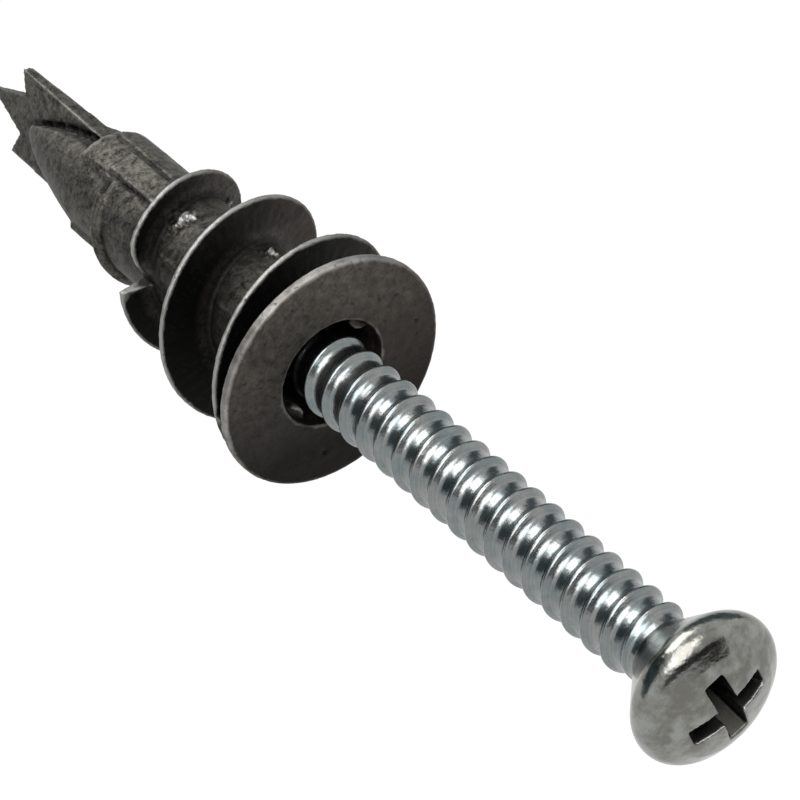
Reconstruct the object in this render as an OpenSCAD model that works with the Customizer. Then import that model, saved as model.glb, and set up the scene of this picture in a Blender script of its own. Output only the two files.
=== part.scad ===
// Self-drilling drywall anchor with its screw.
// The anchor is one die-cast zinc piece: flange, round body, wall thread, lead thread and drill
// point. The screw is started in its mouth. Both lie along Y: the drill point faces +Y, into the
// wall, and the screw head faces -Y. The origin is the centre of the face of the flange that
// bears on the wall.

/* [Flange] */
// Diameter of the flange
flange_d = 12.4; // [11.5:0.1:16]
// Thickness of the flange
flange_t = 0.55; // [0.4:0.05:1.2]
// Width of the bevel round the flange's rim
flange_bevel = 0.1; // [0.05:0.01:0.15]

/* [Body] */
// Length of the round body, from the wall face to the shoulder of the drill point
body_len = 18.9; // [17.6:0.1:24]
// Wall of the body round its bore
wall_t = 0.8; // [0.6:0.05:1.2]
// Extra radius of the body where it meets the flange
root_flare = 0.42; // [0.3:0.02:0.7]
// Length over which that extra radius runs out
root_flare_len = 5.5; // [4:0.1:8]
// Room all round between the screw's thread and the bore
bore_clear = 0.15; // [0.1:0.01:0.25]
// Height of the flat pad on the body, beside the drill point
pad_h = 0.14; // [0.08:0.01:0.25]
// Width of that pad
pad_w = 1.5; // [1:0.1:2.4]
// Distance from the shoulder to the pad's front edge
pad_back = 2.3; // [1:0.1:3]
// Length of the pad
pad_len = 3.9; // [2:0.1:4]
// Turn of the pad away from the edge of the drill point
pad_turn = 25; // [15:1:30]

/* [Wall thread] */
// Advance of the wall thread in one turn
wall_pitch = 5; // [4.5:0.1:5.2]
// Diameter of the wall thread where it leaves the flange
wall_thread_d = 12; // [11:0.1:13]
// Diameter of the wall thread at its square-cut end
wall_thread_end_d = 9.4; // [9.2:0.1:11]
// Distance from the wall face to the square-cut end
wall_thread_len = 10.8; // [9:0.1:11]
// Widest diameter of the lead thread
lead_thread_d = 8.8; // [8:0.1:9.2]
// Diameter of the lead thread where it dies out
lead_thread_end_d = 6.4; // [6.3:0.05:7]
// Advance of the lead thread in one turn
lead_pitch = 4.6; // [4.3:0.1:5]
// Length of the lead thread along the body
lead_thread_len = 5; // [4.6:0.1:5.8]
// Thickness of both threads at the body
blade_root_t = 0.95; // [0.7:0.05:1.2]
// Thickness of both threads at the crest
blade_crest_t = 0.3; // [0.2:0.02:0.45]

/* [Drill point] */
// Distance from the shoulder to the tip of the centre point
spade_len = 11.1; // [9.5:0.1:13]
// Width of the drill point across its two spurs
spade_w = 4.8; // [4.5:0.1:5.6]
// Thickness of the drill point at the shoulder
spade_t = 1.1; // [1:0.05:1.6]
// Thickness of the drill point at its tips
spade_tip_t = 0.6; // [0.4:0.05:0.8]
// Distance from the centre point's tip back to the spurs' tips
spur_back = 2.7; // [1.8:0.1:3.5]
// Distance from the centre point's tip back to the notches beside it
notch_back = 3.3; // [2.8:0.1:4.2]
// Distance of each notch from the axis
notch_offset = 1.1; // [0.8:0.05:1.5]
// Length of the two half-round cheeks beside the drill point
cheek_len = 7; // [5.5:0.1:8]
// Step between the body and the cheeks
shoulder = 0.25; // [0.15:0.01:0.35]
// Distance from the shoulder back to where the cheeks come out of the body
cheek_back = 3; // [2:0.1:3.5]
// Width of the full-round ears that the body keeps between the cheeks
ear_w = 4.2; // [4:0.05:4.5]
// Width of the cheeks at the shoulder
cheek_w = 4.3; // [4:0.1:4.5]
// Turn of the drill point round the axis
spade_turn = 284; // [270:1:300]

/* [Driver recess] */
// Diameter of the recess at the mouth
recess_d = 5.8; // [5.4:0.1:6.2]
// Diameter of the recess at its floor
recess_floor_d = 4.7; // [4.6:0.1:5.2]
// Depth of the recess
recess_depth = 3.6; // [2.8:0.1:4.4]
// Diameter of the four round ribs that part the recess into a cross
rib_d = 1.5; // [1:0.1:2]
// Depth of the ribs' tops below the mouth
rib_drop = 0.5; // [0.3:0.1:1]
// Room between the ribs and the line of the bore
rib_clear = 0.1; // [0.05:0.01:0.2]

/* [Screw] */
// Length of the screw, from the rim of its head to its point
screw_len = 32; // [28:0.5:36]
// Depth of the screw's point below the anchor's mouth
screw_insert = 4.6; // [3.5:0.1:6]
// Outside diameter of the screw thread
screw_d = 4.1; // [3.9:0.05:4.2]
// Diameter at the bottom of the screw thread
screw_root_d = 3.3; // [3.1:0.05:3.4]
// Advance of the screw thread in one turn
screw_pitch = 1.4; // [1.3:0.01:1.6]
// Thickness of the screw thread at its crest
screw_crest_t = 0.2; // [0.1:0.02:0.25]
// Thickness of the screw thread at its bottom
screw_base_t = 0.86; // [0.7:0.02:1]
// Length of the screw's sharp point
screw_point_len = 4.4; // [3.5:0.1:5.5]
// Distance from the point's tip to where the thread starts
thread_back = 0.5; // [0.4:0.05:0.8]
// Plain neck between the thread and the head
neck_len = 0.3; // [0.2:0.05:1.2]

/* [Screw head] */
// Diameter of the head
head_d = 7.6; // [7:0.1:8.4]
// Height of the cone under the head
head_cone_h = 2.6; // [2.2:0.1:3.2]
// Thickness of the head's rim
head_rim_t = 0.4; // [0.2:0.05:0.6]
// Height of the dome above the rim
head_dome_h = 1.7; // [1:0.05:2.2]
// Width across the cross recess at the top of the dome
cross_d = 4.6; // [4:0.1:5]
// Width across the cross recess at its floor
cross_floor_d = 1.9; // [1.6:0.1:2.4]
// Width of each slot of the cross
cross_w = 0.95; // [0.7:0.05:1.2]
// Depth of the cross recess
cross_depth = 2.7; // [2:0.1:3]
// Turn of the cross round the axis
cross_turn = 67; // [0:1:89]

/* [Hidden] */
$fn = 96;

// steps that each thread takes round one turn
wall_steps = 48;
screw_steps = 24;
// how far a joined part reaches into its neighbour
sink = 0.3;
// a cut runs this far past the face it opens
over = 0.5;

// distance from the shoulder back to where the bore starts to close in, and its radius at the end
bore_cone_back = 0.4;
bore_tip_r = 0.3;

flange_r = flange_d / 2;
bore_r = screw_d / 2 + bore_clear;
body_r = bore_r + wall_t;
mouth_z = -flange_t;
tip_z = body_len + spade_len;
// the bore ends in a cone of the screw point's own length, above the drill point's root
bore_cone_z = body_len - bore_cone_back;
bore_end_z = bore_cone_z + screw_point_len;

// turn of the wall thread where it leaves the flange
wall_thread_turn = 124;
// thinnest gap that can be cast between the flange and the blade
cast_gap = 0.2;
// how far out from the body a blade's foot spreads, how much thicker the foot is, each side, under
// the body's surface, and how deep the blade's crest is bevelled
root_fillet = 0.25;
foot_t = 0.06;
crest_bevel = 0.1;
// share of a blade's root thickness that is left, each side, at the top of its foot
waist = 0.36;
// taper of the wall thread: above 1 it keeps its width for longer
wall_taper = 2.2;
// gap between the two threads, and the run over which the lead thread grows, in degrees
thread_gap = 9;
lead_rise = 30;
// run over which the lead thread keeps its full width, in degrees
lead_hold = 40;
// half of the thickness left at the very tip of the centre point
tip_edge = 0.12;
// how fast the cheeks close in along the spade: above 1 they stay wide for longer
cheek_curve = 1.7;
// share of the cheeks' length over which their sides meet
cheek_side = 0.96;

screw_tip_z = mouth_z + screw_insert;
screw_rim_z = screw_tip_z - screw_len;
head_r = head_d / 2;
// turn of the screw thread at its point
screw_turn = 174;
// how fast the core and the thread swell from the point: below 1 they grow early
core_curve = 0.8;
crest_curve = 0.7;
// distance from the point's tip to where the thread would start to stand out of the core
crest_back = 0.3;
// share of the thread's height that is left where it runs out under the head
crest_left = 0.04;

function mix(a, b, t) = a + (b - a) * t;
function clamp(t) = max(0, min(1, t));
function spin(r, turn, z) = [r * cos(turn), r * sin(turn), z];

// Two triangles between four points, taken in order round them.
function two(a, b, c, d) = [[a, b, c], [a, c, d]];

// Faces of a loft through n rings of m points, closed at both ends.
function loft_faces(n, m) = concat(
    [[for (j = [m - 1:-1:0]) j]],
    [for (i = [0:n - 2], j = [0:m - 1]) let (a = i * m, b = a + m, k = (j + 1) % m)
        each two(a + k, b + k, b + j, a + j)],
    [[for (j = [0:m - 1]) (n - 1) * m + j]]
);

// ---- the anchor ----

// Radius of each thread of the body at an angle along it, counted from where it starts.
function wall_thread_r(a, end) =
    mix(wall_thread_d, wall_thread_end_d, pow(clamp(a / end), wall_taper)) / 2;
function lead_thread_r(a, end) =
    a < lead_rise
        ? mix(body_r + blade_crest_t, lead_thread_d / 2, sin(90 * a / lead_rise))
        : mix(lead_thread_d, lead_thread_end_d,
              clamp((a - lead_rise - lead_hold) / (end - lead_rise - lead_hold))) / 2;

// One section of a blade: thick at the body, thin at the crest. Close to the flange, where the
// gap under the blade would be too thin to cast, the blade stands on the flange instead.
function blade_section(r, turn, z) =
    let (stands = z - blade_root_t / 2 < cast_gap,
         low = function (t) stands ? -flange_t / 2 : z - t,
         knee = min(body_r + root_fillet, r - crest_bevel))
    [
        spin(body_r - sink, turn, low(blade_root_t / 2 + foot_t)),
        spin(knee, turn, low(blade_root_t * waist)),
        spin(r - crest_bevel, turn, low(blade_crest_t / 2)),
        spin(r, turn, low(blade_crest_t / 4)),
        spin(r, turn, z + blade_crest_t / 4),
        spin(r - crest_bevel, turn, z + blade_crest_t / 2),
        spin(knee, turn, z + blade_root_t * waist),
        spin(body_r - sink, turn, z + blade_root_t / 2 + foot_t)
    ];

// The wide thread: it rises out of the flange and ends in a square cut.
module wall_thread() {
    end = wall_thread_len / wall_pitch * 360;
    n = ceil(end / 360 * wall_steps) + 1;
    rings = [for (i = [0:n - 1])
        let (a = mix(0, end, i / (n - 1)))
        blade_section(wall_thread_r(a, end), wall_thread_turn + a, a / 360 * wall_pitch)];
    polyhedron([for (ring = rings) each ring], loft_faces(n, len(rings[0])), convexity = 10);
}

// The narrow thread: it follows on from the square cut and dies out before the shoulder.
module lead_thread() {
    start = wall_thread_len / wall_pitch * 360 + thread_gap;
    start_z = start / 360 * wall_pitch;
    end = lead_thread_len / lead_pitch * 360;
    n = ceil(end / 360 * wall_steps) + 1;
    rings = [for (i = [0:n - 1])
        let (a = mix(0, end, i / (n - 1)))
        blade_section(lead_thread_r(a, end), wall_thread_turn + start + a,
                      start_z + a / 360 * lead_pitch)];
    polyhedron([for (ring = rings) each ring], loft_faces(n, len(rings[0])), convexity = 10);
}

module flange() {
    rotate_extrude() polygon([
        [0, mouth_z], [flange_r - flange_bevel, mouth_z], [flange_r, mouth_z + flange_bevel],
        [flange_r, -flange_bevel], [flange_r - flange_bevel, 0], [0, 0]
    ]);
}

// The body is round up to where the cheeks come out of it. From there on it keeps two full-round
// ears, over the edges of the drill point, and is cut flat beside the cheeks.
module body() {
    difference() {
        rotate_extrude() polygon([
            [0, -sink], [body_r + root_flare, -sink], [body_r + root_flare, 0],
            [body_r, root_flare_len], [body_r, body_len], [0, body_len]
        ]);
        for (side = [0, 180]) rotate(spade_turn + side)
            translate([-body_r - over, ear_w / 2, body_len - cheek_back])
                cube([2 * (body_r + over), body_r, cheek_back + over]);
    }
}

// Flat pad on the body, between the lead thread and the shoulder.
module pad() {
    rotate(spade_turn - pad_turn) translate([body_r - sink, -pad_w / 2, body_len - pad_back - pad_len])
        cube([sink + pad_h, pad_w, pad_len]);
}

// The spade of the drill point: a centre point between two spurs, thinner towards the tips.
module spade() {
    half = spade_w / 2;
    rotate(spade_turn) intersection() {
        rotate([90, 0, 0]) linear_extrude(spade_t + 2 * over, center = true) polygon([
            [half, body_len - over], [half, tip_z - spur_back], [notch_offset, tip_z - notch_back],
            [0, tip_z], [-notch_offset, tip_z - notch_back], [-half, tip_z - spur_back],
            [-half, body_len - over]
        ]);
        rotate([90, 0, 90]) linear_extrude(spade_w + 2 * over, center = true) polygon([
            [spade_t / 2, body_len - 2 * over], [spade_t / 2, body_len],
            [spade_tip_t / 2, tip_z - spur_back], [tip_edge, tip_z + over],
            [-tip_edge, tip_z + over], [-spade_tip_t / 2, tip_z - spur_back],
            [-spade_t / 2, body_len], [-spade_t / 2, body_len - 2 * over]
        ]);
    }
}

// Two half-round cheeks come out of the body, lie along the flats of the spade, and close in to it.
module cheeks() {
    start_z = body_len - cheek_back - sink;
    steps = 8;
    side = [for (i = [0:steps]) let (t = i / steps)
        [cheek_w / 2 * (1 - pow(t, cheek_curve)), body_len + cheek_len * cheek_side * t]];
    nose = [for (i = [0:steps]) let (t = i / steps)
        [(body_r - shoulder) * sqrt(1 - t), body_len + cheek_len * t]];
    rotate(spade_turn) intersection() {
        rotate([90, 0, 0]) linear_extrude(2 * body_r + over, center = true) polygon(concat(
            [[0, start_z], [cheek_w / 2, start_z]], side,
            [for (i = [steps - 1:-1:0]) [-side[i][0], side[i][1]]],
            [[-cheek_w / 2, start_z]]));
        rotate_extrude() polygon(concat([[0, start_z], [body_r - shoulder, start_z]], nose));
    }
}

// Round mouth with four ribs: a driver's cross fits between them, and the screw passes inside.
module recess() {
    rib_ring = bore_r + rib_clear + rib_d / 2;
    slope = (recess_d - recess_floor_d) / 2 / recess_depth;
    difference() {
        translate([0, 0, mouth_z - over])
            cylinder(h = recess_depth + over, r1 = recess_d / 2 + over * slope,
                     r2 = recess_floor_d / 2);
        for (k = [0:3]) rotate(45 + 90 * k) translate([rib_ring, 0, mouth_z + rib_drop])
            cylinder(h = recess_depth, d = rib_d);
    }
}

module bore() {
    translate([0, 0, mouth_z - over]) cylinder(h = bore_cone_z - mouth_z + over, r = bore_r);
    translate([0, 0, bore_cone_z]) cylinder(h = bore_end_z - bore_cone_z, r1 = bore_r,
                                           r2 = bore_tip_r);
}

module anchor_body() {
    color("dimgray") rotate([-90, 0, 0]) difference() {
        union() {
            flange();
            body();
            wall_thread();
            lead_thread();
            pad();
            spade();
            cheeks();
        }
        recess();
        bore();
    }
}

// ---- the screw ----

// Radii of the screw's core and crest at a distance from its point.
function core_r_at(u) = screw_root_d / 2 * pow(clamp(u / screw_point_len), core_curve);
function crest_r_at(u, top) =
    let (grown = clamp((u - crest_back) / screw_point_len),
         fade = clamp((top - u) / screw_pitch * 2),
         depth = (screw_d - screw_root_d) / 2)
    core_r_at(u) + depth * pow(grown, crest_curve) * mix(crest_left, 1, fade);

// The threaded shank is one skin: each turn's far edge is the next turn's near edge.
module shank() {
    top = screw_len - head_cone_h - neck_len;
    // the core carries on into the head's cone by one turn more
    end = screw_len - head_cone_h + sink + screw_pitch;
    n = floor((end - thread_back - screw_pitch) / screw_pitch * screw_steps);
    m = 4;
    flank = (screw_base_t - screw_crest_t) / 2;
    function at(r, turn, u) = spin(r, turn, screw_tip_z - u);
    function ring(i) =
        let (turn = screw_turn - i * 360 / screw_steps, u = thread_back + i * screw_pitch / screw_steps)
        [at(core_r_at(u), turn, u),
         at(crest_r_at(u + flank, top), turn, u + flank),
         at(crest_r_at(u + flank + screw_crest_t, top), turn, u + flank + screw_crest_t),
         at(core_r_at(u + screw_base_t), turn, u + screw_base_t)];
    function seam(i) =
        let (turn = screw_turn - i * 360 / screw_steps, u = thread_back + i * screw_pitch / screw_steps)
        at(core_r_at(u), turn, u);
    // rings 0 to n, then the last turn's far edge, then the point and the centre of the top
    points = concat(
        [for (i = [0:n]) each ring(i)],
        [for (i = [n + 1:n + screw_steps]) seam(i)],
        [[0, 0, screw_tip_z], [0, 0, screw_tip_z - end + screw_pitch / 2]]);
    tip = len(points) - 2;
    centre = len(points) - 1;
    function edge(i) = i <= n ? i * m : (n + 1) * m + i - n - 1;
    quads = [for (i = [0:n - 1], j = [0:m - 1])
        let (a = i * m + j, b = (i + 1) * m + j,
             c = j < m - 1 ? b + 1 : edge(i + 1 + screw_steps),
             d = j < m - 1 ? a + 1 : edge(i + screw_steps))
        each two(a, d, c, b)];
    point_fan = concat(
        [for (i = [0:screw_steps - 1]) [tip, edge(i), edge(i + 1)]],
        [[tip, edge(screw_steps), 3], [tip, 3, 2], [tip, 2, 1], [tip, 1, 0]]);
    top_fan = concat(
        [for (i = [n:n + screw_steps - 1]) [centre, edge(i + 1), edge(i)]],
        [for (j = [0:m - 2]) [centre, n * m + j, n * m + j + 1]],
        [[centre, n * m + m - 1, edge(n + screw_steps)]]);
    polyhedron(points, concat(quads, point_fan, top_fan), convexity = 10);
}

module head() {
    rim_z = screw_rim_z;
    dome_r = (pow(head_r, 2) + pow(head_dome_h, 2)) / (2 * head_dome_h);
    // the cone runs on into the core, so that it crosses its surface at a clear angle
    cone_slope = (head_r - screw_root_d / 2) / head_cone_h;
    translate([0, 0, rim_z])
        cylinder(h = head_cone_h + sink, r1 = head_r, r2 = screw_root_d / 2 - sink * cone_slope);
    translate([0, 0, rim_z - head_rim_t]) cylinder(h = head_rim_t, r = head_r);
    // dome
    intersection() {
        translate([0, 0, rim_z - head_rim_t - head_dome_h + dome_r]) sphere(r = dome_r);
        translate([0, 0, rim_z - head_rim_t - head_dome_h - over])
            cylinder(h = head_dome_h + over, r = head_r);
    }
}

// Cross recess: two slots that close in towards their floor.
module cross_recess() {
    top_z = screw_rim_z - head_rim_t - head_dome_h;
    slope = (cross_d - cross_floor_d) / 2 / cross_depth;
    rotate(cross_turn) intersection() {
        translate([0, 0, top_z - over])
            cylinder(h = cross_depth + over, r1 = cross_d / 2 + over * slope, r2 = cross_floor_d / 2);
        translate([0, 0, top_z - over]) linear_extrude(cross_depth + 2 * over) union() {
            square([cross_d * 2, cross_w], center = true);
            square([cross_w, cross_d * 2], center = true);
        }
    }
}

module screw() {
    color("silver") rotate([-90, 0, 0]) difference() {
        union() {
            shank();
            head();
        }
        cross_recess();
    }
}

anchor_body();
screw();
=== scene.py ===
"""Dresses a self-drilling drywall anchor and its screw, and sets a plain studio round them."""

import math

import bpy
import numpy as np
from bpy.props import FloatProperty, FloatVectorProperty, IntProperty, PointerProperty
from mathutils import Matrix, Vector, noise
from mathutils.bvhtree import BVHTree


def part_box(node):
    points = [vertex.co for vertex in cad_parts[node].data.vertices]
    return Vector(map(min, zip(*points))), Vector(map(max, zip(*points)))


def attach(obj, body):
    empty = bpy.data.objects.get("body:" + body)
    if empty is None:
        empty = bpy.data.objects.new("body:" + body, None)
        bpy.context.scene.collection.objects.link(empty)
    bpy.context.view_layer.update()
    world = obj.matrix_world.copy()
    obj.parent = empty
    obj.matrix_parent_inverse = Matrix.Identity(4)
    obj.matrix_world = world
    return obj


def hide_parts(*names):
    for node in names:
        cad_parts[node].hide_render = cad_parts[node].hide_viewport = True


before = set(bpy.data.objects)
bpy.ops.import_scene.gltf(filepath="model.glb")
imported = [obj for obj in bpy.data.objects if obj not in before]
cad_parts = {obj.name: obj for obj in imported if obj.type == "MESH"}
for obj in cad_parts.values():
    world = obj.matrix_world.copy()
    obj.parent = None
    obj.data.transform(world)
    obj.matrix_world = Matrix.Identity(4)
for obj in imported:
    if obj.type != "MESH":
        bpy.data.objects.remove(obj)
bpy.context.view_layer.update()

bl_info = {
    "name": "Drywall anchor dresser",
    "version": (1, 0, 0),
    "blender": (4, 5, 0),
    "location": "View3D > Sidebar > Anchor",
    "description": "Models the cast anchor and its plated screw round the packed frame",
    "category": "Object",
}

# Pieces are shaped in millimetres and brought to metres when they are finished.
MM = 0.001
# Points this close are merged, in most skins and in spun ones. A point this near a level is on it.
SAME_POINT, SAME_SPUN, NEAR = 0.0005, 0.001, 0.01


def in_mm(node):
    """Lowest and highest corner of a CAD node, in millimetres."""
    low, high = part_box(node)
    return low / MM, high / MM


ANCHOR_LOW, _ = in_mm("anchor_body")
SCREW_LOW, SCREW_HIGH = in_mm("screw")
FLANGE_FRONT = ANCHOR_LOW.y
SCREW_POINT = SCREW_HIGH.y
SCREW_LONG = SCREW_HIGH.y - SCREW_LOW.y
HEAD_R = SCREW_HIGH.x


# ---- bench tools ----


def only(piece):
    """Leaves the mode, selects just this piece and makes it the active one."""
    if bpy.context.object and bpy.context.object.mode != "OBJECT":
        bpy.ops.object.mode_set(mode="OBJECT")
    bpy.ops.object.select_all(action="DESELECT")
    piece.select_set(True)
    bpy.context.view_layer.objects.active = piece


def edit(piece):
    """Opens a piece in edit mode with nothing selected."""
    only(piece)
    bpy.ops.object.mode_set(mode="EDIT")
    bpy.ops.mesh.select_all(action="DESELECT")


def close_edit():
    bpy.ops.object.mode_set(mode="OBJECT")


def select_vertices(piece, chosen):
    """Opens a piece in edit mode with just the chosen vertices selected."""
    # opening and closing it clears what was selected, edges and faces too
    edit(piece)
    close_edit()
    for vertex in piece.data.vertices:
        vertex.select = chosen(vertex.co)
    bpy.ops.object.mode_set(mode="EDIT")


def modify(piece, kind, **settings):
    """Adds one modifier with its settings and applies it."""
    only(piece)
    modifier = piece.modifiers.new(kind.title(), kind)
    for name, value in settings.items():
        setattr(modifier, name, value)
    bpy.ops.object.modifier_apply(modifier=modifier.name)


def apply_place(piece):
    only(piece)
    bpy.ops.object.transform_apply(location=True, rotation=True, scale=True)


def tidy_skin(piece, distance):
    """Merges doubles and turns every face outwards."""
    edit(piece)
    bpy.ops.mesh.select_all(action="SELECT")
    bpy.ops.mesh.remove_doubles(threshold=distance)
    bpy.ops.mesh.dissolve_degenerate(threshold=distance / 10)
    bpy.ops.mesh.normals_make_consistent(inside=False)
    close_edit()


def remesh(piece, voxel, smooth_rounds):
    """Fuses a piece into one even skin and softens its edges."""
    modify(piece, "REMESH", mode="VOXEL", voxel_size=voxel, use_smooth_shade=True)
    modify(piece, "SMOOTH", factor=0.5, iterations=smooth_rounds)


def thin_out(piece, most_triangles):
    """Brings a dense skin under a number of triangles."""
    triangles = sum(len(face.vertices) - 2 for face in piece.data.polygons)
    if triangles > most_triangles:
        modify(piece, "DECIMATE", ratio=most_triangles / triangles)


def outline(name, points):
    """An open chain of edges through points given as (x, z)."""
    mesh = bpy.data.meshes.new(name)
    edges = [(i, i + 1) for i in range(len(points) - 1)]
    mesh.from_pydata([(x, 0, z) for x, z in points], edges, [])
    piece = bpy.data.objects.new(name, mesh)
    bpy.context.scene.collection.objects.link(piece)
    return piece


def round_corners(piece, chosen, width, segments):
    """Bevels the chosen corners of an outline."""
    select_vertices(piece, chosen)
    bpy.ops.mesh.select_mode(type="VERT")
    bpy.ops.mesh.bevel(offset=width, segments=segments, affect="VERTICES")
    close_edit()


def combine(piece, tool, operation):
    """Cuts a tool out of a piece or joins it to the piece, and clears the tool away."""
    modify(piece, "BOOLEAN", operation=operation, object=tool, solver="EXACT")
    bpy.data.objects.remove(tool)


def finish_piece(piece, material, node, body):
    """Brings a piece to metres, gives it its finish and puts it in place of its CAD node."""
    piece.scale = (MM, MM, MM)
    apply_place(piece)
    piece.data.materials.clear()
    piece.data.materials.append(material)
    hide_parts(node)
    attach(piece, body)


def on_axis(r, turn, y):
    """The point at radius r and angle turn round the anchor's axis, counted from +X towards +Z."""
    return Vector((r * math.cos(math.radians(turn)), y, r * math.sin(math.radians(turn))))


def on_spade(across, out, y):
    """The point on a flat of the drill point, counted across its width and out of it."""
    return on_axis(across, SPADE_TURN, y) + on_axis(out, SPADE_TURN + 90, 0)


# ---- chisel work on a dense skin ----


# Size of the ragged bumps along a seam, in millimetres.
RAGGED_SIZE = 0.25
# Rays start this far out of the skin, in millimetres, and only where they leave it steeply enough.
RAY_LIFT = 0.03
LEAST_FACING = 0.2
# Rays from each point.
RAYS = 16


class Skin:
    """The vertices of a dense mesh, pushed in and out along their normals."""

    def __init__(self, piece):
        self.mesh = piece.data
        self.points = self.read("co")
        self.normals = self.read("normal")

    def read(self, what):
        values = np.empty(len(self.mesh.vertices) * 3)
        self.mesh.vertices.foreach_get(what, values)
        return values.reshape(-1, 3)

    def push(self, chosen, heights):
        self.points[chosen] += self.normals[chosen] * heights[:, None]

    def away_from(self, centre):
        return np.linalg.norm(self.points - np.array(centre), axis=1)

    @staticmethod
    def roughness(points, size, seed):
        """Uneven heights from -1 to 1, whose bumps are about this size."""
        return np.array([noise.noise(Vector(p) / size + Vector((seed, 0, 0))) for p in points])

    def dent(self, centre, radius, depth):
        """A round hollow."""
        away = self.away_from(centre) / radius
        chosen = np.flatnonzero(away < 1)
        self.push(chosen, -depth * (1 - away[chosen] ** 2) ** 2)

    def ring(self, centre, radius, width, depth):
        """A round groove, such as a moulding pin leaves."""
        away = np.abs(self.away_from(centre) - radius) / width
        chosen = np.flatnonzero(away < 1)
        self.push(chosen, -depth * (1 - away[chosen] ** 2) ** 2)

    def seam(self, start, end, width, height, ragged, seed):
        """A line from start to end: a flash ridge, or a groove where height is negative."""
        start, end = np.array(start), np.array(end)
        run = end - start
        along = (self.points - start) @ run / (run @ run)
        away = np.linalg.norm(self.points - start - np.clip(along, 0, 1)[:, None] * run, axis=1) / width
        chosen = np.flatnonzero(away < 1)
        rough = self.roughness(self.points[chosen], RAGGED_SIZE, seed)
        self.push(chosen, height * (1 + ragged * rough) * (1 - away[chosen] ** 2) ** 2)

    def crust(self, centre, radius, height, size, seed):
        """A patch of rough, cold metal."""
        away = self.away_from(centre) / radius
        chosen = np.flatnonzero(away < 1)
        rough = self.roughness(self.points[chosen], size, seed)
        self.push(chosen, height * rough * (1 - away[chosen] ** 2))

    def near(self, spots):
        """How close each point is to the middle of a patch, from 0 to 1."""
        closest = np.zeros(len(self.points))
        for centre, radius in spots:
            closest = np.maximum(closest, 1 - self.away_from(centre) / radius)
        return closest

    def grain(self, height, size, octaves):
        """The uneven skin of the whole casting."""
        rough = np.array([noise.fractal(Vector(p) / size, 1.0, 2.0, octaves) for p in self.points])
        self.push(np.arange(len(self.points)), height * rough)

    def store(self):
        self.mesh.vertices.foreach_set("co", self.points.ravel())
        self.mesh.update()

    def even_out(self, values, rounds):
        """Averages a value over each point's neighbours."""
        pairs = np.empty(len(self.mesh.edges) * 2, dtype=np.int32)
        self.mesh.edges.foreach_get("vertices", pairs)
        near, far = pairs[0::2], pairs[1::2]
        count = np.bincount(pairs, minlength=len(values)) + 1
        for _ in range(rounds):
            total = (np.bincount(near, values[far], len(values))
                     + np.bincount(far, values[near], len(values)))
            values = (values + total) / count
        return values

    def edges(self, rounds):
        """How far each point stands out of the softened surface: above 0 on edges, below 0 in corners."""
        soft = np.stack([self.even_out(self.points[:, axis], rounds) for axis in range(3)], axis=1)
        return np.sum((self.points - soft) * self.normals, axis=1)

    def openness(self, reach, rays):
        """How much of the room in front of each point is free, from 0 to 1."""
        faces = [face.vertices[:] for face in self.mesh.polygons]
        tree = BVHTree.FromPolygons(self.points.tolist(), faces)
        # the rays go out evenly in all directions, in a spiral from pole to pole
        turns = np.arange(rays) * math.pi * (3 - math.sqrt(5))
        heights = 1 - (np.arange(rays) + 0.5) * 2 / rays
        spread = np.sqrt(1 - heights ** 2)
        ways = np.stack([np.cos(turns) * spread, np.sin(turns) * spread, heights])
        facing = self.normals @ ways
        starts = self.points + self.normals * RAY_LIFT
        free, total = np.zeros(len(starts)), np.zeros(len(starts))
        for index in range(rays):
            way = Vector(ways[:, index])
            for point in np.flatnonzero(facing[:, index] > LEAST_FACING):
                weight = facing[point, index]
                total[point] += weight
                if tree.ray_cast(Vector(starts[point]), way, reach)[0] is None:
                    free[point] += weight
        return self.even_out(free / np.maximum(total, 0.01), 3)

    def paint(self, name, values):
        """Keeps a value for each point, for the finish to read."""
        layer = self.mesh.attributes.new(name, "FLOAT", "POINT")
        layer.data.foreach_set("value", values.astype(np.float32))


# ---- finishes ----


def colour(red, green, blue):
    """A colour written as it looks on screen, from 0 to 255, as Blender's linear values."""
    def linear(value):
        value /= 255
        return value / 12.92 if value <= 0.04045 else ((value + 0.055) / 1.055) ** 2.4
    return (linear(red), linear(green), linear(blue), 1.0)


def solid(shade):
    """A setting's colour with full opacity."""
    return (*shade, 1.0)


def shade_setting(name, description, red, green, blue):
    """A setting that holds a colour."""
    return FloatVectorProperty(
        name=name, description=description, subtype="COLOR", default=colour(red, green, blue)[:3])


class Wire:
    """A value in a material. Arithmetic on it adds Math nodes."""

    def __init__(self, finish, socket):
        self.finish, self.socket = finish, socket

    def _maths(self, operation, first, second):
        return self.finish.node("Math", {"operation": operation}, {0: first, 1: second})

    def __add__(self, other):
        return self._maths("ADD", self, other)

    def __radd__(self, other):
        return self._maths("ADD", other, self)

    def __sub__(self, other):
        return self._maths("SUBTRACT", self, other)

    def __rsub__(self, other):
        return self._maths("SUBTRACT", other, self)

    def __mul__(self, other):
        return self._maths("MULTIPLY", self, other)

    def __truediv__(self, other):
        return self._maths("DIVIDE", self, other)

    def sine(self):
        return self._maths("SINE", self, 0.0)

    def cosine(self):
        return self._maths("COSINE", self, 0.0)

    def larger(self, other):
        return self._maths("MAXIMUM", self, other)


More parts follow.
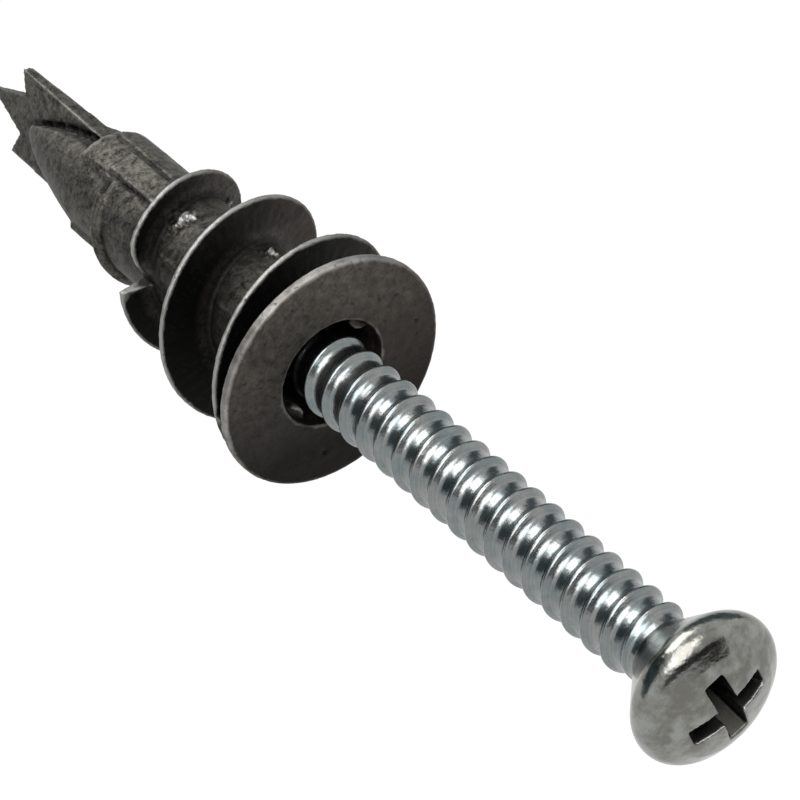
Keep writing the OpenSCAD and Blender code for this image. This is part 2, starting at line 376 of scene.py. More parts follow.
class Finish:
    """The nodes of a material or of the world, under construction."""

    def __init__(self, owner):
        self.owner = owner
        self.owner.use_nodes = True
        self.tree = self.owner.node_tree
        self.tree.nodes.clear()

    def node(self, kind, settings=None, values=None, output=0):
        """Adds one node: its settings first, then its sockets' values or links."""
        made = self.tree.nodes.new("ShaderNode" + kind)
        for name, value in (settings or {}).items():
            if name == "stops":
                self.set_stops(made.color_ramp, value)
            else:
                setattr(made, name, value)
        for name, value in (values or {}).items():
            if isinstance(value, Wire):
                self.tree.links.new(value.socket, made.inputs[name])
            else:
                made.inputs[name].default_value = value
        return Wire(self, made.outputs[output]) if made.outputs else None

    @staticmethod
    def set_stops(ramp, stops):
        while len(ramp.elements) < len(stops):
            ramp.elements.new(0.5)
        for element, (place, value) in zip(ramp.elements, stops):
            element.position = place
            element.color = (value, value, value, 1)

    def place(self):
        """Places on the piece, in millimetres."""
        where = self.node("TexCoord", output="Object")
        return self.node("Mapping", values={"Vector": where, "Scale": (1 / MM,) * 3})

    def axes(self, place):
        """The place's three numbers, each a value of its own."""
        return [self.node("SeparateXYZ", values={"Vector": place}, output=axis) for axis in "XYZ"]

    def radius(self, place):
        """How far a place is from the axis."""
        across = self.node("VectorMath", {"operation": "MULTIPLY"}, {0: place, 1: (1, 0, 1)})
        return self.node("VectorMath", {"operation": "LENGTH"}, {0: across}, "Value")

    def painted(self, name):
        """The value that Skin.paint kept under this name."""
        return self.node("Attribute", {"attribute_name": name}, output="Fac")

    def noise(self, place, scale, detail, roughness, distortion=0.0):
        return self.node("TexNoise", values={
            "Vector": place, "Scale": scale, "Detail": detail, "Roughness": roughness,
            "Distortion": distortion})

    def ramp(self, value, *stops):
        """Turns a value into another, by stops that are given as (value in, value out)."""
        return self.node("ValToRGB", {"stops": stops}, {"Fac": value})

    def mix(self, factor, first, second):
        """The first colour where the factor is 0, the second where it is 1."""
        return self.node("Mix", {"data_type": "RGBA"}, {0: factor, 6: first, 7: second}, 2)

    def bump(self, height, distance, strength, normal=None):
        values = {"Height": height, "Distance": distance, "Strength": strength}
        if normal:
            values["Normal"] = normal
        return self.node("Bump", values=values)

    def metal(self, base, metallic, roughness, normal):
        """Ends a metal's material."""
        return self.output(self.node("BsdfPrincipled", values={
            "Base Color": base, "Metallic": metallic, "Roughness": roughness, "Normal": normal}))

    def output(self, shader, kind="OutputMaterial"):
        self.node(kind, values={"Surface": shader})
        return self.owner


def new_material(name):
    return Finish(bpy.data.materials.new(name))


# Shades of the casting: brown skin, painted shade on the sides turned away from the light and low on the
# flange's face, painted shade in what is closed in and in corners, and dark pits.
BROWN_BLADE, BROWN_FACE = colour(44, 38, 36), colour(50, 44, 41)
PAINTED_SHADE_BLADE, PAINTED_SHADE_BODY, PAINTED_SHADE_FACE = colour(10, 10, 9), colour(30, 28, 25), colour(22, 18, 15)
CAST_HOLLOW_SHADE, CAST_CORNER_SHADE, CAST_PIT = colour(16, 15, 15), colour(14, 13, 13), colour(17, 16, 15)


def zinc_skin(finish, settings, place, noises):
    """The casting's colour before wear, with painted shade on the sides turned away from the light and low
    on the flange's face, and 1 where the drill end is.
    """
    x, y, z = finish.axes(place)
    radius = finish.radius(place)
    cloudy, patchy, speckle = noises

    # where the skin is barer: the drill end, the body between the blades and the flange's face
    drill_end = finish.ramp((y + patchy * 1.5) / 20, (0.62, 0.0), (0.72, 1.0))
    face = finish.ramp((y + 2) / 4, (0.49, 1.0), (0.5, 0.0))
    barrel = finish.ramp((radius + patchy * 0.5) / 10, (0.36, 1.0), (0.41, 0.0)) * (1 - face)

    # each region's mottled skin
    mottle = finish.ramp(patchy * 0.65 + speckle * 0.35, (0.36, 0.0), (0.64, 1.0))
    veined = finish.noise(place, 2.0, 6.0, 0.8, 0.4)
    veined = finish.ramp(veined * 0.65 + speckle * 0.35, (0.4, 0.0), (0.6, 1.0))
    blade = finish.mix(mottle, solid(settings.dark), solid(settings.light))
    bare = finish.mix(veined, solid(settings.bare_dark), solid(settings.bare))
    flat = finish.mix(mottle, solid(settings.face_dark), solid(settings.face))

    # brown tarnish on one side
    side = finish.ramp((x * 0.85 - z * 0.35) / 20 + cloudy, (0.42, 0.0), (0.68, 1.0))
    tarnish = solid(settings.tarnish)
    blade = finish.mix(side, blade, finish.mix(mottle, BROWN_BLADE, tarnish))
    flat = finish.mix(side * 0.8, flat, finish.mix(mottle, BROWN_FACE, tarnish))

    # painted shade on the sides turned away from the light, and low on the flange's face
    shaded_side = finish.ramp(
        (x * 0.83 + z * 0.56) / 16 + 0.5 + (cloudy - 0.5) * 0.3, (0.42, 0.95), (0.8, 0.0))
    blade = finish.mix(shaded_side, blade, PAINTED_SHADE_BLADE)
    bare = finish.mix(shaded_side * 0.45, bare, PAINTED_SHADE_BODY)
    # painted shade, darker towards the bottom of the flange's face
    shaded_low = finish.ramp(z / 14 + 0.5 + (cloudy - 0.5) * 0.2, (0.2, 1.0), (0.85, 0.0))
    flat = finish.mix(shaded_low, flat, PAINTED_SHADE_FACE)

    base = finish.mix(face, blade, flat)
    return finish.mix(drill_end.larger(barrel * 0.6), base, bare), drill_end


def zinc_wear_and_highlight(finish, place, noises, drill_end):
    """How much lighter the casting gets, from 0 to 1: bare metal on worn edges, with a painted highlight on
    the edges towards the upper left where the light falls, and lighter metal on the crusts.
    """
    x, _, z = finish.axes(place)
    cloudy, patchy, speckle = noises
    # painted highlight: edges towards the upper left, where the light falls, are lighter than the rest
    highlit_side = finish.ramp((z * 0.6 - x * 0.5) / 12 + cloudy, (0.35, 0.35), (0.7, 1.0))
    worn_and_lit = finish.ramp(finish.painted("edge") * 10 + (patchy - 0.5) * 0.1, (0.26, 0.0), (0.44, 1.0))
    worn_and_lit = worn_and_lit * highlit_side * (1 - drill_end * 0.6)
    crust = finish.ramp(finish.painted("bare") * 0.7 + speckle * 0.6 - 0.3, (0.38, 0.0), (0.56, 1.0))
    return (worn_and_lit * 0.55).larger(crust)


def cast_zinc(settings):
    """Dark die-cast zinc: near-black blades, darker still with painted shade on the sides turned away from
    the light, a barer body, brown with age, painted shade in hollows and corners, bright on worn edges with
    a painted highlight on those towards the upper left.
    """
    finish = new_material("cast_zinc")
    place = finish.place()
    cloudy = finish.noise(place, 0.5, 3.0, 0.6, 0.5)
    patchy = finish.noise(place, 1.9, 5.0, 0.7, 0.6)
    speckle = finish.noise(place, 6.5, 4.0, 0.75)
    noises = cloudy, patchy, speckle
    base, drill_end = zinc_skin(finish, settings, place, noises)

    # painted shade in what is closed in, bare metal and a painted highlight on the edges, painted shade in
    # the corners, and dark pits
    hollow_shade = finish.ramp(finish.painted("open") + (speckle - 0.5) * 0.3, (0.3, 1.0), (0.85, 0.0))
    base = finish.mix(hollow_shade * 0.85, base, CAST_HOLLOW_SHADE)
    worn_and_lit = zinc_wear_and_highlight(finish, place, noises, drill_end)
    base = finish.mix(worn_and_lit, base, solid(settings.worn_and_lit))
    # painted shade in the corners where parts meet
    corner_shade = finish.ramp(finish.painted("edge") * 10 + 0.5, (0.3, 1.0), (0.46, 0.0))
    base = finish.mix(corner_shade * 0.8, base, CAST_CORNER_SHADE)
    pits = finish.ramp(finish.noise(place, 3.2, 5.0, 0.75), (0.34, 1.0), (0.4, 0.0))
    base = finish.mix(pits * 0.75, base, CAST_PIT)

    roughness = 0.4 + patchy * 0.22 + speckle * 0.1 - worn_and_lit * 0.12
    fine = finish.noise(place, 12.0, 4.0, 0.7)
    relief = patchy * 0.3 + speckle * 0.4 + fine * 0.3 - pits * 0.4
    return finish.metal(base, 0.9, roughness, finish.bump(relief, 0.08 * MM, 0.7))


# Shades of the plating: the darker streaks of the head, stains, and painted shade in hollows and in the
# cross recess.
BRUSHED, STAINED, STEEL_HOLLOW_SHADE = colour(112, 111, 105), colour(104, 102, 98), colour(50, 49, 46)


def rolled_lines(finish, settings, place):
    """Fine lines that run round with the thread: the same all along each turn."""
    x, y, z = finish.axes(place)
    turn = finish.node("Math", {"operation": "ARCTAN2"}, {0: z, 1: x})
    phase = turn + y * (math.tau / settings.pitch)
    thread = finish.node(
        "CombineXYZ", values={0: phase.cosine(), 1: phase.sine(), 2: finish.radius(place) * 2.5})
    return finish.noise(thread, 3.5, 3.0, 0.6)


def plated_steel(settings):
    """Bright zinc plating: cool, a little cloudy, with the fine lines of the rolled thread."""
    finish = new_material("plated_steel")
    place = finish.place()
    _, y, _ = finish.axes(place)
    cloudy = finish.noise(place, 0.9, 4.0, 0.65)
    stain = finish.noise(place, 2.2, 4.0, 0.7)
    lines = rolled_lines(finish, settings, place)

    # 1 on the shank, 0 on the head
    shank = finish.ramp((y - SCREW_LOW.y - HEAD_TALL) / 10 + 0.5, (0.49, 0.0), (0.51, 1.0))
    warmth = finish.ramp(cloudy * 0.6 + lines * 0.4, (0.36, 0.0), (0.66, 1.0)) * shank + (1 - shank)
    plating = finish.mix(warmth, solid(settings.cool), solid(settings.warm))
    head = finish.mix(finish.ramp(cloudy, (0.4, 0.0), (0.62, 1.0)), BRUSHED, solid(settings.head))
    base = finish.mix(shank, head, plating)
    base = finish.mix(finish.ramp(stain, (0.56, 0.0), (0.74, 0.5)), base, STAINED)

    # painted shade in the closed corners of the thread and in the cross recess
    hollow_shade = finish.ramp(finish.painted("open") + (stain - 0.5) * 0.3, (0.38, 1.0), (0.62, 0.0))
    recess = finish.ramp(finish.painted("recess") + (stain - 0.5) * 0.08, (0.03, 0.0), (0.16, 1.0))
    hollow_shade = (hollow_shade * (1 - shank * 0.6)).larger(recess)
    base = finish.mix(hollow_shade * 0.95, base, STEEL_HOLLOW_SHADE)

    roughness = 0.2 + cloudy * 0.12 + hollow_shade * 0.3 - (1 - shank) * 0.06
    fine = finish.noise(place, 5.0, 3.0, 0.6)
    dents = finish.noise(place, 1.3, 2.0, 0.5)
    normal = finish.bump(fine * 0.25 + dents * 0.75, 0.08 * MM, 0.5)
    return finish.metal(base, 1.0, roughness, finish.bump(lines * shank, 0.01 * MM, 0.5, normal))


# ---- the anchor ----


class CastingSettings(bpy.types.PropertyGroup):
    voxel: FloatProperty(
        name="Voxel", description="Size of the skin's cells, in millimetres", default=0.085, min=0.05)
    soften: IntProperty(
        name="Soften", description="Rounds of smoothing on the cast edges", default=2, min=0)
    most_triangles: IntProperty(
        name="Most triangles", description="Limit for the casting", default=185000)
    grain: FloatProperty(
        name="Grain", description="Height of the skin's unevenness, in millimetres", default=0.012)
    dark: shade_setting("Dark blade", "Darker skin on the blades", 22, 22, 20)
    light: shade_setting("Light blade", "Lighter skin on the blades", 54, 52, 47)
    face_dark: shade_setting("Dark face", "Darker skin of the flange", 54, 52, 48)
    face: shade_setting("Light face", "Lighter skin of the flange", 106, 101, 94)
    bare_dark: shade_setting("Dark body", "Darker skin of the body", 24, 23, 21)
    bare: shade_setting("Light body", "Lighter skin of the body", 118, 115, 107)
    tarnish: shade_setting("Tarnish", "Brown tarnish", 76, 67, 60)
    # bare metal on the edges, and the painted highlight on edges towards the upper left
    worn_and_lit: shade_setting("Worn edge", "Bare metal on the edges", 190, 189, 185)


def cad_copy(node, name):
    """A closed copy of a CAD node's mesh, in millimetres."""
    piece = bpy.data.objects.new(name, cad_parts[node].data.copy())
    bpy.context.scene.collection.objects.link(piece)
    piece.scale = (1 / MM,) * 3
    apply_place(piece)
    tidy_skin(piece, SAME_POINT)
    return piece


# Radius of the round body, in millimetres, as all the sizes below.
BODY_R = 3.0
# Flash lines on the round body: angle, then where each starts and ends along the axis.
FLASH_LINES = ((145.5, 4.0, 5.6), (146.5, 9.2, 10.3), (325.5, 3.2, 6.0), (326.5, 8.6, 10.0))
# The two lines that bound the flat band beside the drill point: angle and place at each end.
BAND_LINES = (((115, 13.2), (123, 18.4)), ((79, 13.7), (78, 18.4)))
# Cold, rough metal: radius from the axis, angle, place along it, patch radius.
CRUSTS = (
    (3.1, 108, 10.7, 0.9), (3.1, 98, 10.5, 0.6), (3.1, 68, 5.9, 0.7), (3.1, 250, 7.6, 0.8),
    (3.1, 20, 12.4, 0.6),
)
# Small pits: radius from the axis, angle, place, pit radius.
PITS = (
    (5.1, 60, 6.2, 0.22), (3.8, 66, 5.5, 0.25), (3.6, 300, 8.3, 0.2), (5.0, 10, -0.55, 0.16),
    (4.6, 262, -0.55, 0.18),
)
# The ring that a moulding pin left on the flange: radius from the axis, angle and its own radius.
PIN_MARK = (4.2, 43, 0.42)
# The drill point's width runs in this direction from the axis.
SPADE_TURN = 76
# The ragged line where a cheek meets the drill point's flat: distance across, out and along the axis.
GROOVE = ((2.2, 0.5, 19.6), (1.95, 0.5, 20.6), (1.6, 0.5, 21.8), (1.2, 0.48, 23.0), (0.5, 0.46, 24.6))
# How each line is made: width, height (below 0 for a groove) and raggedness.
FLASH_MARK, BAND_MARK, GROOVE_MARK = (0.16, 0.09, 0.8), (0.2, -0.07, 1.0), (0.3, -0.16, 1.6)
# Height of the crusts and size of their bumps, depth of the pits, width and depth of the pin's ring.
CRUST_TALL, CRUST_BUMPS, PIT_DEEP, PIN_WIDE, PIN_DEEP = 0.3, 0.26, 0.1, 0.14, 0.03
# Each kind of mark counts its seeds on from here, so that no two are rough alike.
FLASH_SEED, BAND_SEED, CRUST_SEED, GROOVE_SEED = 0, 10, 20, 30
# Size of the grain's bumps and the number of its octaves.
GRAIN_SIZE, GRAIN_OCTAVES = 0.5, 3
# Rounds of smoothing that find the edges, and that even out what was found.
EDGE_ROUNDS, EDGE_EVEN_ROUNDS = 8, 5
# How far around a point metal still closes it in.
CAST_REACH = 3.0


def mark_casting(skin):
    """The flash, seams, crusts, pits and pin mark that casting leaves."""
    for seed, (turn, start, end) in enumerate(FLASH_LINES, FLASH_SEED):
        skin.seam(on_axis(BODY_R, turn, start), on_axis(BODY_R, turn, end), *FLASH_MARK, seed)
    for seed, ((turn, start), (end_turn, end)) in enumerate(BAND_LINES, BAND_SEED):
        skin.seam(on_axis(BODY_R, turn, start), on_axis(BODY_R, end_turn, end), *BAND_MARK, seed)
    for seed, (r, turn, y, radius) in enumerate(CRUSTS, CRUST_SEED):
        skin.crust(on_axis(r, turn, y), radius, CRUST_TALL, CRUST_BUMPS, seed)
    for seed, (start, end) in enumerate(zip(GROOVE, GROOVE[1:]), GROOVE_SEED):
        skin.seam(on_spade(*start), on_spade(*end), *GROOVE_MARK, seed)
    for r, turn, y, radius in PITS:
        skin.dent(on_axis(r, turn, y), radius, PIT_DEEP)
    r, turn, radius = PIN_MARK
    skin.ring(on_axis(r, turn, FLANGE_FRONT), radius, PIN_WIDE, PIN_DEEP)


def make_casting(settings):
    """One casting: flange, body, threads and drill point under one uneven skin."""
    piece = cad_copy("anchor_body", "anchor_casting")
    remesh(piece, settings.voxel, settings.soften)
    skin = Skin(piece)
    mark_casting(skin)
    skin.grain(settings.grain, GRAIN_SIZE, GRAIN_OCTAVES)
    skin.store()
    thin_out(piece, settings.most_triangles)
    skin = Skin(piece)
    skin.paint("edge", skin.even_out(skin.edges(EDGE_ROUNDS), EDGE_EVEN_ROUNDS))
    skin.paint("open", skin.openness(CAST_REACH, RAYS))
    skin.paint("bare", skin.near([(on_axis(r, turn, y), radius) for r, turn, y, radius in CRUSTS]))
    finish_piece(piece, cast_zinc(settings), "anchor_body", "anchor")


# ---- the screw ----


class ScrewSettings(bpy.types.PropertyGroup):
    pitch: FloatProperty(
        name="Pitch", description="Advance of the thread in one turn, in millimetres", default=1.4)
    root_r: FloatProperty(
        name="Root radius", description="Radius of the core, in millimetres", default=1.71)
    crest_r: FloatProperty(
        name="Crest radius", description="Radius of the thread, in millimetres", default=2.04)
    base: FloatProperty(
        name="Thread base", description="Width of the thread at the core, in millimetres", default=0.7)
    crest: FloatProperty(
        name="Thread crest", description="Width of the thread at the crest, in millimetres", default=0.15)
    steps: IntProperty(name="Steps", description="Steps in one turn", default=84, min=24)
    point: FloatProperty(
        name="Point", description="Length of the sharp point, in millimetres", default=4.4)
    cool: shade_setting("Cool plating", "Bluish plating", 110, 120, 123)
    warm: shade_setting("Warm plating", "Warmer plating", 146, 147, 143)
    head: shade_setting("Head", "Plating of the head", 143, 145, 141)


# Head, in millimetres: height of the cone, the rim and the dome, and how far the rim is rounded.
HEAD_CONE, HEAD_RIM, HEAD_DOME, HEAD_ROUND = 2.6, 0.4, 1.7, 1.3
# The rim is a sharp corner. Its rounding takes off this share of its own size, which brings the
# corner back to the head's radius.
ROUNDED_OFF = 0.435
HEAD_CORNER_R = HEAD_R + HEAD_ROUND * ROUNDED_OFF
# The dome is cut from a sphere: the corner's radius and the dome's height give it.
DOME_R = (HEAD_CORNER_R ** 2 + HEAD_DOME ** 2) / (2 * HEAD_DOME)
# The dome's arc has this many steps. Those next to the corner are left out, for its rounding.
DOME_STEPS, DOME_STEPS_KEPT = 12, 7
HEAD_TALL = HEAD_CONE + HEAD_RIM + HEAD_DOME
# Size of the head's cells, its rounds of smoothing, and the steps in which it is spun.
HEAD_VOXEL, HEAD_SOFTEN, HEAD_STEPS = 0.065, 7, 128
# Under the cone: height of the neck, its radius at each end, and its rounding.
NECK_TALL, NECK_R, NECK_TOP_R, NECK_ROUND = 0.4, 1.5, 1.7, 0.35
# The thread ends this far under the cone, and the shank goes this far on into the head.
THREAD_STOP, SHANK_HIDDEN = 0.3, 1.6
# Rounding where the thread meets the core, and along its crest.
ROOT_ROUND, CREST_ROUND = 0.2, 0.06
# Where the thread's crest lies: angle at the screw's point.
THREAD_TURN = -53.1
# Turns that the thread's outline starts below the screw's point.
TURNS_BELOW = 1.5
# How the core and the thread grow along the point, where 1 is a straight cone.
CORE_GROWTH, THREAD_GROWTH = 0.8, 0.7
# The thread starts this far up the point, and fades to this share of its height, over half a turn.
THREAD_START, FADED_SHARE, FADE_TURNS = 0.3, 0.04, 0.5
# Cross recess: width across at the dome and at its floor, slot width, depth, turn.
CROSS_ACROSS, CROSS_FLOOR, CROSS_SLOT, CROSS_DEEP, CROSS_TURN = 4.6, 1.9, 1.1, 2.7, -67
# The tool that cuts it is this much wider and taller, and this share as thick at its floor.
CROSS_FLARE, CROSS_PROUD, CROSS_TAPER = 0.4, 0.5, 0.8
# Recess depth is painted up to this, and this far past the recess, with these rounds of evening out.
RECESS_MOST, RECESS_MARGIN, RECESS_EVEN_ROUNDS = 0.4, 0.1, 6
# How far around a point metal still closes it in.
SCREW_REACH = 2.0
# Edges sharper than this, in degrees, stay sharp.
SHARP_ANGLE = 50


def clamp(value):
    return min(1, max(0, value))


def thread_outline(s):
    """One turn of the thread's profile: core, flank, rounded crest, flank, core."""
    half = s.pitch / 2
    piece = outline("plated_screw", [
        (s.root_r, -half), (s.root_r, -s.base / 2), (s.crest_r, -s.crest / 2),
        (s.crest_r, s.crest / 2), (s.root_r, s.base / 2), (s.root_r, half)])
    inner, outer = s.root_r + NEAR, s.crest_r - NEAR
    round_corners(piece, lambda co: co.x < inner and abs(co.z) < half - NEAR, ROOT_ROUND, 4)
    round_corners(piece, lambda co: co.x > outer, CREST_ROUND, 3)
    return piece


def shape_shank(piece, s, top):
    """Draws the thread in to a sharp point, fades it out at the neck and closes both ends."""
    depth = s.crest_r - s.root_r
    for vertex in piece.data.vertices:
        x, y, u = vertex.co
        r = math.hypot(x, y)
        share = (r - s.root_r) / depth
        core = s.root_r * clamp(u / s.point) ** CORE_GROWTH
        grown = clamp((u - THREAD_START) / s.point) ** THREAD_GROWTH
        fade = clamp((top - u) / (s.pitch * FADE_TURNS))
        new_r = core + share * depth * grown * (FADED_SHARE + (1 - FADED_SHARE) * fade)
        if u > top + SHANK_HIDDEN:
            new_r, u = 0, top + SHANK_HIDDEN
        vertex.co = (x / r * new_r, y / r * new_r, max(0, u))


def make_shank(s, screw_len):
    """The thread, spun up from below the point to inside the head."""
    piece = thread_outline(s)
    turns = math.ceil(screw_len / s.pitch) + 2
    piece.location.z = -s.pitch * TURNS_BELOW
    apply_place(piece)
    modify(piece, "SCREW", axis="Z", screw_offset=s.pitch, iterations=turns, steps=s.steps,
           render_steps=s.steps, use_merge_vertices=True, merge_threshold=SAME_SPUN)
    piece.rotation_euler.z = math.radians(THREAD_TURN + 360 * TURNS_BELOW)
    apply_place(piece)
    shape_shank(piece, s, screw_len - HEAD_CONE - THREAD_STOP)
    tidy_skin(piece, SAME_POINT)
    return piece


def cross_tool(top, arm):
    """A tapered block that cuts one arm of the cross recess."""
    width = CROSS_ACROSS + CROSS_FLARE
    bpy.ops.mesh.primitive_cube_add(size=1, location=(0, 0, top - CROSS_DEEP / 2 + CROSS_PROUD / 2))
    tool = bpy.context.object
    tool.scale = (width, CROSS_SLOT, CROSS_DEEP + CROSS_PROUD)
    apply_place(tool)
    floor = min(vertex.co.z for vertex in tool.data.vertices)
    select_vertices(tool, lambda co: co.z < floor + NEAR)
    bpy.ops.transform.resize(value=(CROSS_FLOOR / width, CROSS_TAPER, 1))
    close_edit()
    tool.rotation_euler.z = math.radians(CROSS_TURN + arm)
    apply_place(tool)
    return tool


def make_head(screw_len):
    """Cone and dome with a softly rounded rim, and a cross recess."""
    low, top = screw_len - HEAD_CONE, screw_len + HEAD_RIM + HEAD_DOME
    turns = [math.asin(HEAD_CORNER_R / DOME_R) * i / DOME_STEPS for i in range(DOME_STEPS_KEPT, 0, -1)]
    dome = [(DOME_R * math.sin(turn), top - DOME_R + DOME_R * math.cos(turn)) for turn in turns]
    piece = outline("screw_head", [
        (0, low - NECK_TALL), (NECK_R, low - NECK_TALL), (NECK_TOP_R, low),
        (HEAD_CORNER_R, screw_len + HEAD_RIM), *dome, (0, top)])
    round_corners(piece, lambda co: abs(co.z - low) < NEAR, NECK_ROUND, 5)
    round_corners(piece, lambda co: co.x > HEAD_CORNER_R - NEAR, HEAD_ROUND, 10)
    modify(piece, "SCREW", axis="Z", steps=HEAD_STEPS, render_steps=HEAD_STEPS,
           use_merge_vertices=True, merge_threshold=SAME_SPUN)
    tidy_skin(piece, SAME_SPUN)
    for arm in (0, 90):
        combine(piece, cross_tool(top, arm), "DIFFERENCE")
    remesh(piece, HEAD_VOXEL, HEAD_SOFTEN)
    return piece


def recess_depth(points):
    """How deep each point lies in the cross recess, below the dome, in millimetres."""
    across = np.hypot(points[:, 0], points[:, 2])
    depth = DOME_R - np.hypot(across, points[:, 1] - SCREW_LOW.y - DOME_R)
    inside = (across < CROSS_ACROSS / 2 + RECESS_MARGIN) & (points[:, 1] < SCREW_LOW.y + CROSS_DEEP)
    return np.where(inside, np.clip(depth, 0, RECESS_MOST), 0)


def make_screw(settings):
    """The screw, shaped with its point at the origin and its head above, then laid along the axis."""
    screw_len = SCREW_LONG - HEAD_RIM - HEAD_DOME
    piece = make_shank(settings, screw_len)
    combine(piece, make_head(screw_len), "UNION")
    piece.rotation_euler.x = math.radians(90)
    piece.location.y = SCREW_POINT
    apply_place(piece)
    bpy.ops.object.shade_smooth_by_angle(angle=math.radians(SHARP_ANGLE))
    skin = Skin(piece)
    skin.paint("open", skin.openness(SCREW_REACH, RAYS))
    skin.paint("recess", skin.even_out(recess_depth(skin.points), RECESS_EVEN_ROUNDS))
    finish_piece(piece, plated_steel(settings), "screw", "screw")


# ---- the studio ----


class StageSettings(bpy.types.PropertyGroup):
    floor_drop: FloatProperty(name="Floor drop", description="Floor below the axis, in metres", default=0.06)
    key_power: FloatProperty(name="Key light", description="Power of the light above, in watts", default=1.1)
    fill: FloatProperty(name="Fill", description="Strength of the light all round", default=0.55)


# Camera: the point that it looks at, close to the axis, and its direction in degrees.
CAMERA_AIM = Vector((0.87, -4.75, 0.63)) * MM
CAMERA_AZIMUTH, CAMERA_ELEVATION, CAMERA_ROLL = -35.69, 38.77, -1.03
CAMERA_DISTANCE = 188.4 * MM
CAMERA_LENS, SENSOR = 180.7, 36.0
CAMERA_CLIP = (0.01, 20)
# Width of the floor in metres, how white its paper is, and the share of plain white that is seen.
FLOOR_SIZE, PAPER, WHITE_SHARE = 6, 0.8, 0.92
# Lights: name, azimuth, elevation, distance and size in metres, and share of the key light's power.
LIGHTS = (
    ("key", -168, 51, 0.4, 0.24, 1.0),
    ("rim_light", -50, 62, 0.4, 0.34, 1.6),
)
# Cards: name, azimuth and elevation they stand at, distance, width, height and shade.
CARDS = (
    ("card_left", -136, 17, 0.5, 0.66, 0.5, colour(64, 82, 86)),
    ("card_right", 134, 22, 0.5, 0.6, 0.34, colour(92, 106, 112)),
    ("card_front", -8, 26, 0.5, 0.86, 0.22, colour(28, 26, 24)),
)


def towards(azimuth, elevation):
    """The direction from the object to a camera at these angles."""
    a, e = math.radians(azimuth), math.radians(elevation)
    return Vector((math.sin(a) * math.cos(e), -math.cos(a) * math.cos(e), math.sin(e)))


def make_camera():
    data = bpy.data.cameras.new("camera")
    data.lens, data.sensor_width = CAMERA_LENS, SENSOR
    data.clip_start, data.clip_end = CAMERA_CLIP
    camera = bpy.data.objects.new("camera", data)
    bpy.context.scene.collection.objects.link(camera)
    back = towards(CAMERA_AZIMUTH, CAMERA_ELEVATION)
    turn = (-back).to_track_quat("-Z", "Y").to_matrix().to_4x4()
    roll = Matrix.Rotation(math.radians(CAMERA_ROLL), 4, "Z")
    camera.matrix_world = Matrix.Translation(CAMERA_AIM + back * CAMERA_DISTANCE) @ (turn @ roll)
    bpy.context.scene.camera = camera


def seen_or_mirrored(finish):
    """1 for rays from the camera and for those that a shiny or clear surface sends on."""
    def ray(kind):
        return finish.node("LightPath", output=kind)
    return finish.node("Math", {"operation": "MINIMUM"}, {
        0: ray("Is Camera Ray") + ray("Is Glossy Ray") + ray("Is Transmission Ray"), 1: 1.0})


def floor_paper():
    """White to the camera and in the metal's shine; plain paper to all other light."""
    finish = new_material("floor_paper")
    white = finish.node("Emission", values={"Color": (1, 1, 1, 1), "Strength": 1.0})
    paper = finish.node("BsdfDiffuse", values={"Color": (PAPER, PAPER, PAPER, 1)})
    share = seen_or_mirrored(finish) * WHITE_SHARE
    return finish.output(finish.node("MixShader", values={0: share, 1: paper, 2: white}))


def make_floor(settings):
    bpy.ops.mesh.primitive_plane_add(size=FLOOR_SIZE, location=(0, 0, -settings.floor_drop))
    floor = bpy.context.object
    floor.name = "floor"
    floor.data.materials.append(floor_paper())


def make_world(settings):
    """White where it is seen or mirrored, dimmer as light all round."""
    world = bpy.data.worlds.new("studio")
    bpy.context.scene.world = world
    finish = Finish(world)
    strength = settings.fill + seen_or_mirrored(finish) * (1 - settings.fill)
    light = finish.node("Background", values={"Color": (1, 1, 1, 1), "Strength": strength})
    finish.output(light, "OutputWorld")


def make_light(settings, name, azimuth, elevation, away, size, share):
    way = towards(azimuth, elevation)
    data = bpy.data.lights.new(name, "AREA")
    data.energy, data.shape, data.size = settings.key_power * share, "SQUARE", size
    light = bpy.data.objects.new(name, data)
    bpy.context.scene.collection.objects.link(light)
    light.location = way * away
    light.rotation_mode = "QUATERNION"
    light.rotation_quaternion = way.to_track_quat("Z", "Y")


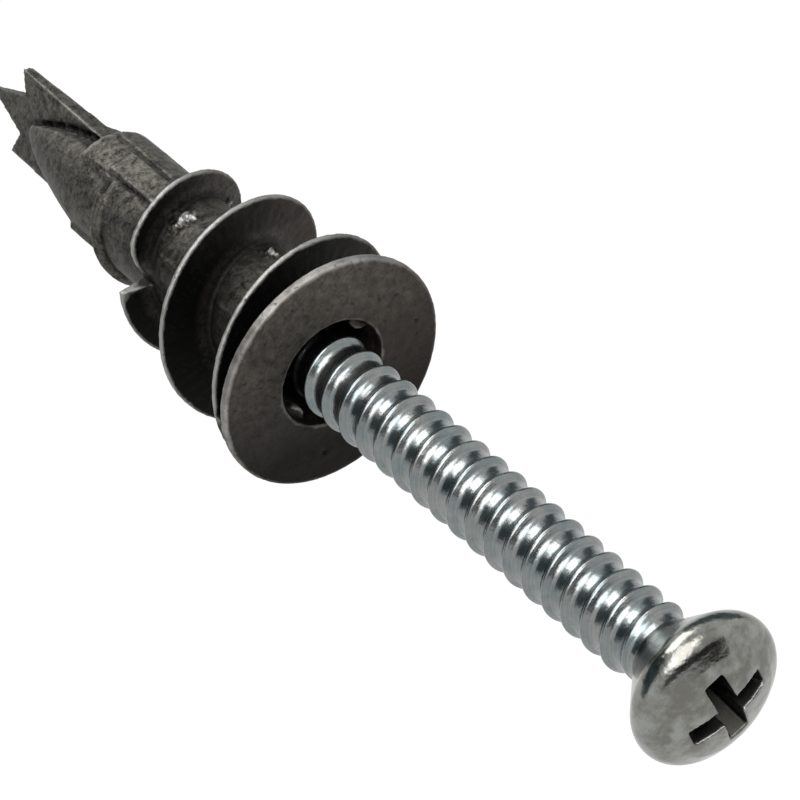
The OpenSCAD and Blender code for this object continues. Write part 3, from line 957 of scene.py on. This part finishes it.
def make_card(name, azimuth, elevation, away, width, height, shade):
    """A dark card beside the object, which only the shine on the metal shows."""
    way = towards(azimuth, elevation)
    bpy.ops.mesh.primitive_plane_add(size=1)
    card = bpy.context.object
    card.name = name
    card.scale = (width, height, 1)
    apply_place(card)
    card.matrix_world = Matrix.Translation(way * away) @ way.to_track_quat("Z", "Y").to_matrix().to_4x4()
    apply_place(card)
    finish = new_material(name)
    glow = finish.node("Emission", values={"Color": shade, "Strength": 1.0})
    card.data.materials.append(finish.output(glow))
    card.visible_camera = False
    card.visible_shadow = False
    card.visible_diffuse = False


def make_stage(settings):
    make_camera()
    make_world(settings)
    make_floor(settings)
    for light in LIGHTS:
        make_light(settings, *light)
    for card in CARDS:
        make_card(*card)
    bpy.context.scene.view_settings.view_transform = "Standard"


# ---- the add-on ----


class ANCHOR_OT_casting(bpy.types.Operator):
    """Models the cast anchor over its CAD node"""
    bl_idname = "anchor.casting"
    bl_label = "Cast anchor"

    def execute(self, context):
        make_casting(context.scene.anchor_casting)
        return {"FINISHED"}


class ANCHOR_OT_screw(bpy.types.Operator):
    """Models the plated screw over its CAD node"""
    bl_idname = "anchor.screw"
    bl_label = "Plated screw"

    def execute(self, context):
        make_screw(context.scene.anchor_screw)
        return {"FINISHED"}


class ANCHOR_OT_stage(bpy.types.Operator):
    """Sets up the camera, the lights and the floor"""
    bl_idname = "anchor.stage"
    bl_label = "Stage"

    def execute(self, context):
        make_stage(context.scene.anchor_stage)
        return {"FINISHED"}


class ANCHOR_PT_panel(bpy.types.Panel):
    """Lists the pieces and the stage"""
    bl_label = "Drywall anchor"
    bl_idname = "ANCHOR_PT_panel"
    bl_space_type = "VIEW_3D"
    bl_region_type = "UI"
    bl_category = "Anchor"

    def draw(self, context):
        for operator in STEPS:
            self.layout.operator(operator.bl_idname)


SETTINGS = {"anchor_casting": CastingSettings, "anchor_screw": ScrewSettings, "anchor_stage": StageSettings}
STEPS = (ANCHOR_OT_stage, ANCHOR_OT_casting, ANCHOR_OT_screw)
CLASSES = (*SETTINGS.values(), *STEPS, ANCHOR_PT_panel)


def register():
    for made in CLASSES:
        bpy.utils.register_class(made)
    for name, group in SETTINGS.items():
        setattr(bpy.types.Scene, name, PointerProperty(type=group))


def unregister():
    for name in SETTINGS:
        delattr(bpy.types.Scene, name)
    for made in reversed(CLASSES):
        bpy.utils.unregister_class(made)


def main():
    register()
    bpy.ops.anchor.stage()
    bpy.ops.anchor.casting()
    bpy.ops.anchor.screw()


if __name__ == "__main__":
    main()
